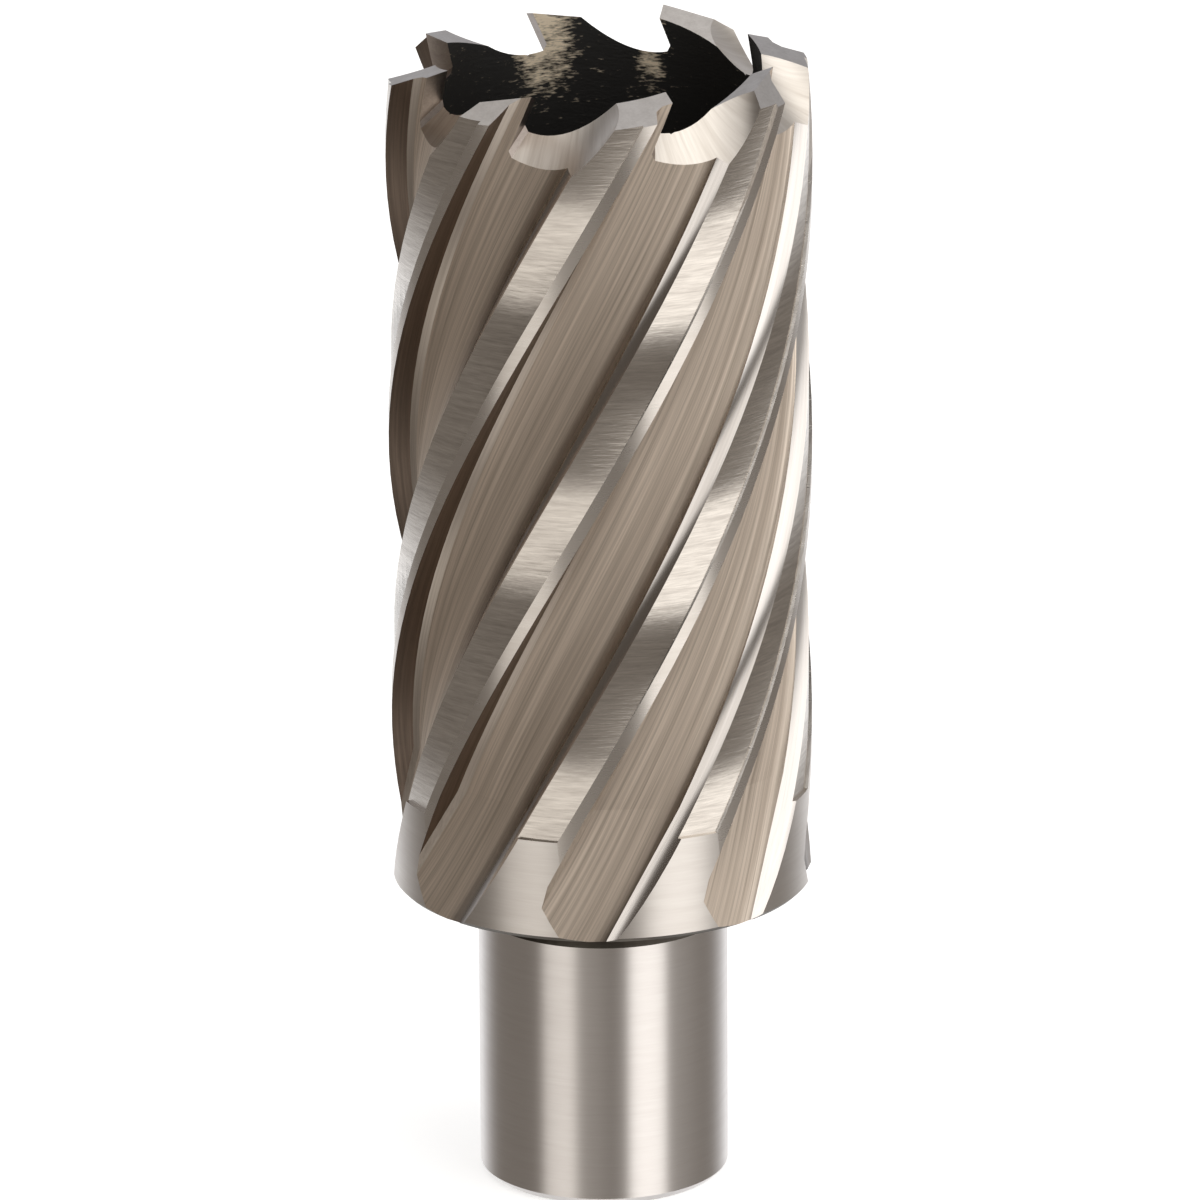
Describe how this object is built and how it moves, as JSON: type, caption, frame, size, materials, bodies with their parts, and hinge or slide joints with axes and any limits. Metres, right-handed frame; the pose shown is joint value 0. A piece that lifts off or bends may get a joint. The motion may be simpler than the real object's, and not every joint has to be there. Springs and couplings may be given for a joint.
{
  "type": "annular cutter",
  "caption": "Hollow core drill for metal: plain shank, collar, right-hand helical flutes and ground teeth round an open bore.",
  "frame": {"origin": "centre of the shank's end face, on the axis", "axes": "+Z along the axis from the shank to the teeth; +Y to the side of the two clamping flats"},
  "size_m": [0.032, 0.032, 0.0889],
  "materials": {
    "ground_steel": "ground and brushed bare tool steel"
  },
  "bodies": {
    "root": {"annular_cutter": "ground_steel"}
  },
  "joints": []
}
